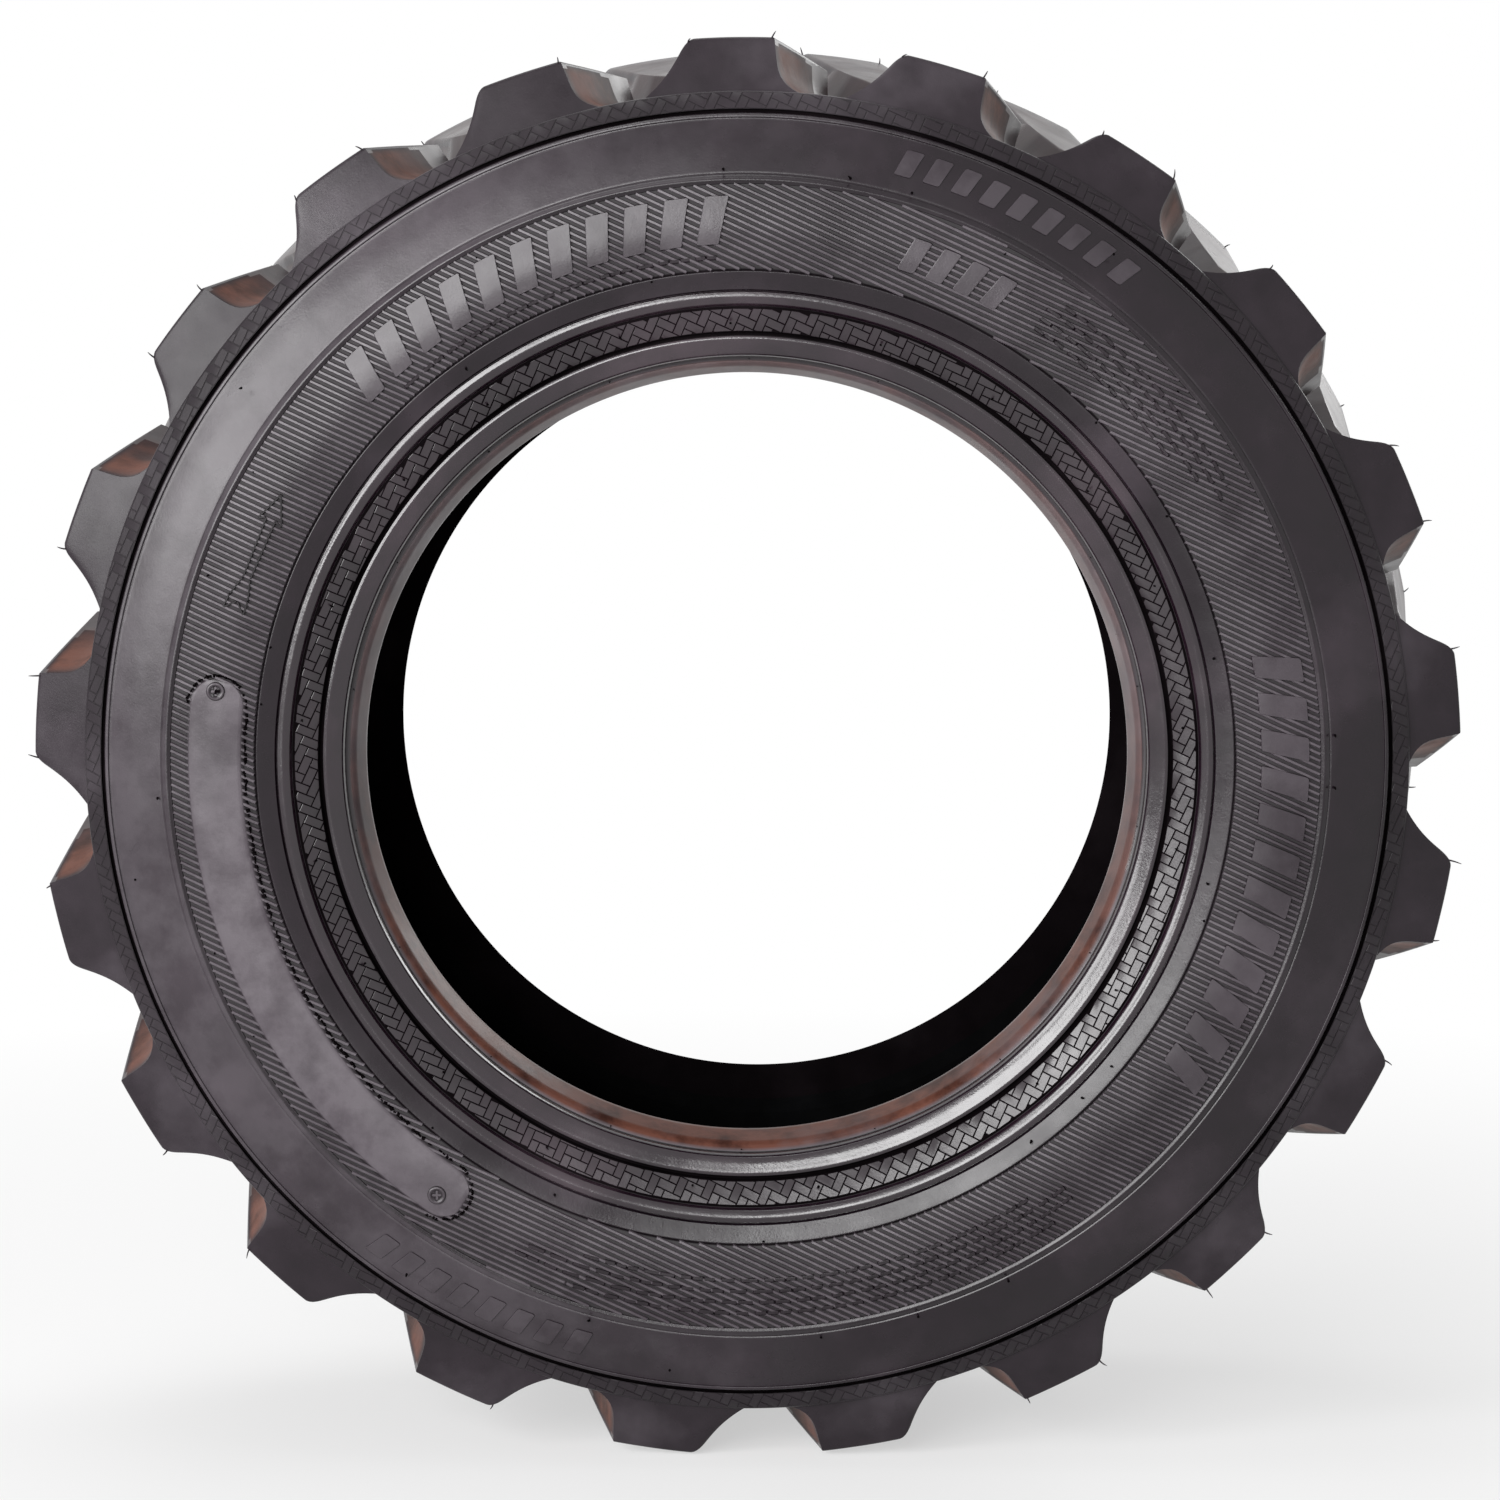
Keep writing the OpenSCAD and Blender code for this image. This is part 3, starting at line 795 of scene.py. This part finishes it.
TILT = 114.5  # the direction of the ribs and of the herringbone
RIB_PITCH, RIB_WIDTH, RIB_HIGH = 3.27, 0.66, 1.15
KNURL_CELL, SHOULDER_CELL = 4.75, 4.9
RING_STEPS, WALL_STEPS = 720, 900


def shoulder_at(r):
    return shoulder_w(r) - SHOULDER_SUNK


# middle radius and half width of the grooves round the bead ring and under the ridge
RIM_GROOVES = ((225.9, 1.0), (213.2, 0.3), (240, 0.5))
BEAD_BASE_OUT = 213.1


def rim_light_and_shade(r, angle, w, side):
    """Painted reflection: brown on the bead base, most of all low down. Painted shade: black in
    grooves, under the bricks and on the inner faces.
    """
    low = np.clip(0.1 - np.cos(np.radians(angle)) * 1.5, 0, 1)
    base = np.where((r < BEAD_BASE_OUT) & (w > 102), 0.37 + 0.63 * low, 0)
    groove = np.where(sum(np.abs(r - at) < half for at, half in RIM_GROOVES), -1, 0)
    knurl = np.where((r > KNURL_IN - 0.1) & (r < KNURL_OUT + 0.1) & (w > 130), -1, 0)
    inside = np.where((w < 112) & (r > 205.5), -1, 0)
    if side == LEFT:  # painted shade: its seat faces the light and is seen through the opening, and is made black
        base = base - 2 * (base > 0) * (w < 119)
    return base + groove + knurl + inside


def wall_light_and_shade(r, angle, w):
    """Painted shade between the ribs and black in the grooves; painted light on the left half of
    the smooth band, which is paler there.
    """
    outside = w > belly_at(r) - 6
    rib_floor = np.where(outside & (r > RIB_IN) & (r < RIB_OUT), -0.7, 0)
    # painted light: the smooth band is paler towards the left, where the light falls
    lit_half = np.clip(0.15 - np.sin(np.radians(angle)) * 0.7, 0, 0.5)
    band_painted_light = np.where(outside & (r > RIB_OUT + 2) & (r < 341), lit_half, 0)
    groove = np.where(outside & ((r > 341.6) | (np.abs(r - 259.2) < 0.35)), -1, 0)
    return rib_floor + groove + band_painted_light


# along and across the running direction, in millimetres
ARROW = [[35, 0], [19, 6.6], [21, 2.6], [-13, 2.0], [-24, 5.2], [-32, 5.8], [-26, 0],
         [-32, -5.8], [-24, -5.2], [-13, -2.0], [21, -2.6], [19, -6.6]]


# middle radius, half height, first and last angle, count, rise
BLOCK_ROWS = ((285.5, 13, 314.5, 359.5, 11, 1.1), (285.5, 13, 78.5, 127.5, 12, 1.1),
              (281, 9.5, 17.5, 30.5, 4, 1.0), (326, 7.5, 14.5, 39.5, 9, 0.7),
              (326, 7.5, 195, 218.5, 8, 0.7))
# radius, first and last angle, rise
DASH_ROWS = ((266, 318, 357, 0.8),
             (293, 35, 60, 0.85), (287, 33.5, 61, 0.85), (281, 33.5, 58, 0.85),
             (275, 33.5, 54, 0.85), (296, 146, 199, 0.85), (290, 143, 205, 0.85),
             (284, 143, 204, 0.85), (278, 147, 198, 0.85))
PLATE_R = 280.5


def make_side(side, hand):
    """The rim strip and the sidewall of one side, with all that is moulded on them."""
    rim = Shells()
    ring(rim, rim_section, RING_STEPS, side, lambda r, a, w: rim_light_and_shade(r, a, w, side))
    bricks(rim, side, knurl_at, KNURL_IN + 0.2, KNURL_OUT - 0.3, KNURL_CELL, TILT, 0.45, 0.5)
    for k in range(18):
        a = k * 20 + rng.uniform(-1, 1)
        side_hair(rim, side, 212.2, a, 124.6, rng.uniform(0.8, 2.0), 0.8)
    for k in range(21):
        side_hair(rim, side, rng.uniform(230, 237), k * PITCH + rng.uniform(-2, 2),
                  141.6, rng.uniform(1, 2.5), 1.4)
    rim.build(f"{hand}_rim_strip_moulded", (rim_rubber, toe_painted_reflection, painted_shade_rubber),
              [f"{hand}_rim_strip"], 30)

    wall = Shells()
    ring(wall, side_section, WALL_STEPS, side, wall_light_and_shade)
    ribs(wall, side, lambda r: belly_at(r) - RIB_SUNK, RIB_IN, RIB_OUT, RIB_PITCH, TILT,
         RIB_PITCH * RIB_WIDTH, RIB_HIGH)
    # blank plate, held in the mould by two screws, with its edge painted black as shade
    pad(wall, side, belly_at, PLATE_R, 15.5, 212, 279, 0.9, corner=14, edge=2.2,
        lift=lambda a, r: 0.12 * np.sin(a * 0.9) * np.sin(r * 0.21), bloom=1.0, rim_light_and_shade=-1.0)
    for r, a in ((284.4, 215.2), (281.9, 277.6)):
        screw_print(wall, side, belly_at, r, a)
    rough_line(wall, side, belly_at, [[264.6, a] for a in np.arange(216, 276, 0.5)], 1.7, 1.3)
    for end, way in ((279.3, 1), (211.7, -1)):
        rough_line(wall, side, belly_at,
                   [[PLATE_R - 15.8 * math.cos(q), end - way * 3.3 + way * 3.3 * math.sin(q)]
                    for q in np.linspace(0, PI, 30)], 1.5, 1.2)
    outline(wall, side, belly_at, 279.5, 293, ARROW, 1.1, 1.3)
    for block in BLOCK_ROWS:
        block_row(wall, side, belly_at, *block)
    for dash in DASH_ROWS:
        dash_row(wall, side, belly_at, *dash)
    for k in range(42):
        side_hair(wall, side, rng.choice([253.5, 257.5, 300, 312, 330]),
                  k * PITCH / 2 + rng.uniform(-3, 3), belly_at(300) - 1, rng.uniform(1, 2.5), 1.5)
    wall.build(f"{hand}_sidewall_moulded", (side_rubber, side_rubber, painted_shade_rubber),
               [f"{hand}_sidewall"], 30)


# ---------------------------------------------------------------- tread

TRAIL_ANGLE, LEAD_ANGLE = -3.5, 3.9
# the inner end of a lug's top face, trailing to leading side: [angle, width]
NOSE = np.array([[-0.4, 58], [1.6, 24], [4.4, -8], [8.2, 23.5]])


def flare(s, reach, straight, power):
    """How far a flank leans out at depth s: partly straight, partly curling at the foot."""
    return reach * (straight * s + (1 - straight) * s ** power)


def top_r(h):
    return LUG_R - CROWN_HOLLOW * (1 - np.minimum(np.abs(h) / TREAD_HALF, 1))


def floor_at(h):
    t = np.clip((np.abs(h) - CROWN_HALF) / (TREAD_HALF - CROWN_HALF), 0, 1)
    return FLOOR_MID_R + (FLOOR_R - FLOOR_MID_R) * t


def lug_point(u, v, s, deep=0):
    """u: trailing to leading side, v: shoulder to nose, s: top face to groove floor."""
    x = u * 3
    nose_a, nose_h = (np.interp(x, range(4), NOSE[:, k]) for k in (0, 1))
    plan_a = (TRAIL_ANGLE + (LEAD_ANGLE - TRAIL_ANGLE) * u) * (1 - v) + nose_a * v
    plan_h = TREAD_HALF * (1 - v) + nose_h * v
    sweep = (-flare(s, 22, 0.65, 3) * (1 - u)
             + flare(s, 15, 0.25, 6) * (1 - 0.4 * v) * u)
    h = plan_h + flare(s, 10, 1, 1) * (1 - v) - flare(s, 8, 0.5, 4) * v
    edge = 5 * np.maximum(1 - u / 0.14, 0) ** 2
    r = (top_r(plan_h) - edge) * (1 - s) + (floor_at(h) - 0.6) * s - deep
    a = plan_a + np.degrees(sweep / FLOOR_R)
    return r, a, h


LUG_U = np.unique(np.concatenate([np.linspace(0, 0.14, 6), np.linspace(0.14, 1, 13),
                                  [1 / 3, 2 / 3]]))
LUG_V = np.linspace(0, 1, 17)
LUG_S = [0.0, 0.012, 0.035, 0.07, 0.14, 0.22, 0.3, 0.4, 0.5, 0.6, 0.7, 0.78, 0.84, 0.89, 0.93,
         0.97, 1.0]


def lug(shells, centre, side):
    """A lug as rows of points from the top face down, with a painted reflection in brown on the
    flanks by the shoulder.
    """
    inset = 0.018
    uu, vv = np.meshgrid(inset + LUG_U * (1 - 2 * inset), inset / 2 + LUG_V * (1 - inset),
                         indexing="ij")
    r, a, h = lug_point(uu, vv, np.zeros_like(uu))
    nu, nv = len(LUG_U), len(LUG_V)
    top = polar(r, a + centre, h, side).reshape(-1, 3)
    # painted reflection: a faint brown on the top face
    bloom = [(np.clip((vv - 0.02) / 0.1, 0, 1) * np.clip((uu - 0.04) / 0.1, 0, 1)
              * np.clip((0.96 - uu) / 0.1, 0, 1)).ravel() * 0.12]
    rim = border(nu, nv)
    ru = np.array([LUG_U[i] for i, j in rim])
    rv = np.array([LUG_V[j] for i, j in rim])
    rows = []
    for s in LUG_S[1:]:
        k = inset * max(1 - (s - 0.012) / 0.023, 0) * 0.35
        u2, v2 = k + ru * (1 - 2 * k), k / 2 + rv * (1 - k)
        r, a, h = lug_point(u2, v2, np.full(len(ru), s))
        rows.append(polar(r, a + centre, h, side))
        # painted reflection: a brown patch on the flank by the shoulder
        patch = np.clip((rv - 0.02) / 0.06, 0, 1) * np.clip((0.75 - rv) / 0.4, 0, 1)
        bloom.append(patch * min(max((s - 0.07) / 0.12, 0), 1) + 0.1 * (rv > 0.1) * (1 - patch))
    r, a, h = lug_point(ru, rv, np.ones(len(ru)), 2)
    rows.append(polar(r, a + centre, h, side))
    m = len(rim)
    pts = np.concatenate([top] + rows + [rows[-1].mean(axis=0)[None]])
    rim_ids = np.array([i * nv + j for i, j in rim])
    first = nu * nv + np.arange(m)
    quads = [grid_quads(nu, nv)[:, ::-1],
             np.stack([rim_ids, first, np.roll(first, -1), np.roll(rim_ids, -1)], axis=-1)]
    for k in range(len(rows) - 1):
        a0 = nu * nv + k * m + np.arange(m)
        quads.append(np.stack([a0, a0 + m, np.roll(a0, -1) + m, np.roll(a0, -1)], axis=-1))
    foot = nu * nv + (len(rows) - 1) * m + np.arange(m)
    hub = len(pts) - 1
    quads = np.concatenate(quads)
    tris = np.stack([foot, np.full(m, hub), np.roll(foot, -1)], axis=-1)
    bloom.append(np.zeros(len(pts) - sum(map(len, bloom))))
    shells.add(pts, quads, tris, np.concatenate(bloom))


def tread_tint_and_shade(r, angle, w):
    """Tinted groove floor; painted shade, dark between the shoulder bricks and black in the seam
    below them.
    """
    floor = np.where((r > 345) & (np.abs(w) < TREAD_HALF + 1), 0.15, 0.0) + 0 * angle
    edge = np.abs(w) > 129
    return floor - 0.7 * ((r > 343.2) & (r < SHOULDER_OUT) & edge) - 1.0 * ((r < 343.2) & edge)


def make_tread():
    """The tread band with its shoulder, and the two rows of lugs with their hairs."""
    base = Shells()
    ring(base, tread_section, RING_STEPS, RIGHT, tread_tint_and_shade)
    for side in (RIGHT, LEFT):
        bricks(base, side, shoulder_at, SHOULDER_IN + 0.3, SHOULDER_OUT - 0.5, SHOULDER_CELL,
               TILT, 0.28, 0.5)
    base.build("tread_base", (tread_rubber, flank_painted_reflection, painted_shade_rubber),
               ["tread"], 30)
    for side, hand, phase in ((RIGHT, "right", LUG_PHASE), (LEFT, "left", LUG_PHASE + PITCH / 2)):
        lugs = Shells()
        for k in range(LUG_COUNT):
            lug(lugs, phase + k * PITCH, side)
            for a, u in ((-3.1, 0.08), (3.75, 0.97)):
                # none where the lowest lugs stand on the floor
                down = math.cos(math.radians(a + phase + k * PITCH)) < -0.95
                if rng.random() < 0.8 and not down:
                    r, ang, h = (float(q) for q in lug_point(u, 0.0, 0.02))
                    foot = polar(r, ang + phase + k * PITCH, h, side)
                    t = math.radians(ang + phase + k * PITCH + rng.uniform(-25, 25))
                    out = np.array([math.sin(t), -side * rng.uniform(0.2, 0.8), math.cos(t)])
                    hair(lugs, foot, out, rng.uniform(2.5, 5.5), 1.0,
                         np.array([rng.uniform(-1, 1), 0, rng.uniform(-1, 1)]) * 1.2)
        lugs.build(f"{hand}_lugs", (tread_rubber, flank_painted_reflection, painted_shade_rubber),
                   ["tread"], 42)


make_side(RIGHT, "right")
make_side(LEFT, "left")
make_tread()

# ---------------------------------------------------------------- floor and light

FLOOR_Z, FLOOR_HALF = cad_box[0][2], 12
WORLD_LIGHT = 0.18


def rays_seen(nodes, links):
    """1 for camera, glossy and transmission rays."""
    path = nodes.new("ShaderNodeLightPath")
    total = path.outputs["Is Camera Ray"]
    for name in ("Is Glossy Ray", "Is Transmission Ray"):
        more = nodes.new("ShaderNodeMath")
        more.operation = "MAXIMUM"
        links.new(total, more.inputs[0])
        links.new(path.outputs[name], more.inputs[1])
        total = more.outputs[0]
    return total


def make_floor():
    """A pale floor that turns plain white where it meets the backdrop."""
    mesh = bpy.data.meshes.new("floor")
    h = FLOOR_HALF
    mesh.from_pydata([(-h, -h, FLOOR_Z), (h, -h, FLOOR_Z), (h, h, FLOOR_Z), (-h, h, FLOOR_Z)],
                     [], [(0, 1, 2, 3)])
    floor = bpy.data.objects.new("floor", mesh)
    bpy.context.collection.objects.link(floor)
    mat = bpy.data.materials.new("floor")
    mat.use_nodes = True
    nodes, links = mat.node_tree.nodes, mat.node_tree.links
    bsdf = nodes["Principled BSDF"]
    bsdf.inputs["Base Color"].default_value = (0.86, 0.86, 0.86, 1)
    bsdf.inputs["Roughness"].default_value = 0.9
    bsdf.inputs["Specular IOR Level"].default_value = 0.1
    glow = nodes.new("ShaderNodeEmission")
    glow.inputs["Strength"].default_value = 1
    place = nodes.new("ShaderNodeNewGeometry")
    far = nodes.new("ShaderNodeVectorMath")
    far.operation = "LENGTH"
    links.new(place.outputs["Position"], far.inputs[0])
    share = nodes.new("ShaderNodeMapRange")
    for key, value in (("From Min", 0.5), ("From Max", 1.5), ("To Min", 0.55), ("To Max", 1)):
        share.inputs[key].default_value = value
    links.new(far.outputs["Value"], share.inputs["Value"])
    seen = rays_seen(nodes, links)
    amount = nodes.new("ShaderNodeMath")
    amount.operation = "MULTIPLY"
    links.new(seen, amount.inputs[0])
    links.new(share.outputs[0], amount.inputs[1])
    mix = nodes.new("ShaderNodeMixShader")
    links.new(amount.outputs[0], mix.inputs["Fac"])
    links.new(bsdf.outputs[0], mix.inputs[1])
    links.new(glow.outputs[0], mix.inputs[2])
    links.new(mix.outputs[0], nodes["Material Output"].inputs["Surface"])
    mesh.materials.append(mat)


def make_world():
    """White to the eye and in reflections, dim as a light."""
    world = bpy.data.worlds.new("studio")
    world.use_nodes = True
    bpy.context.scene.world = world
    nodes, links = world.node_tree.nodes, world.node_tree.links
    background = nodes["Background"]
    background.inputs["Color"].default_value = (1, 1, 1, 1)
    strength = nodes.new("ShaderNodeMapRange")
    strength.inputs["To Min"].default_value = WORLD_LIGHT
    strength.inputs["To Max"].default_value = 1
    links.new(rays_seen(nodes, links), strength.inputs["Value"])
    links.new(strength.outputs[0], background.inputs["Strength"])


make_floor()
make_world()
# name, place, size, power
area_light("key", (-0.95, -3.5, 0.85), (1.7, 1.6), 100)
area_light("left fill", (-2.2, -2.2, 1.0), (1.4, 1.7), 75)
area_light("top", (-0.5, 0.3, 2.8), (2.0, 1.6), 26)
area_light("back", (1.9, 2.1, 1.3), (1.8, 1.6), 40)

bpy.context.scene.view_settings.view_transform = "Standard"
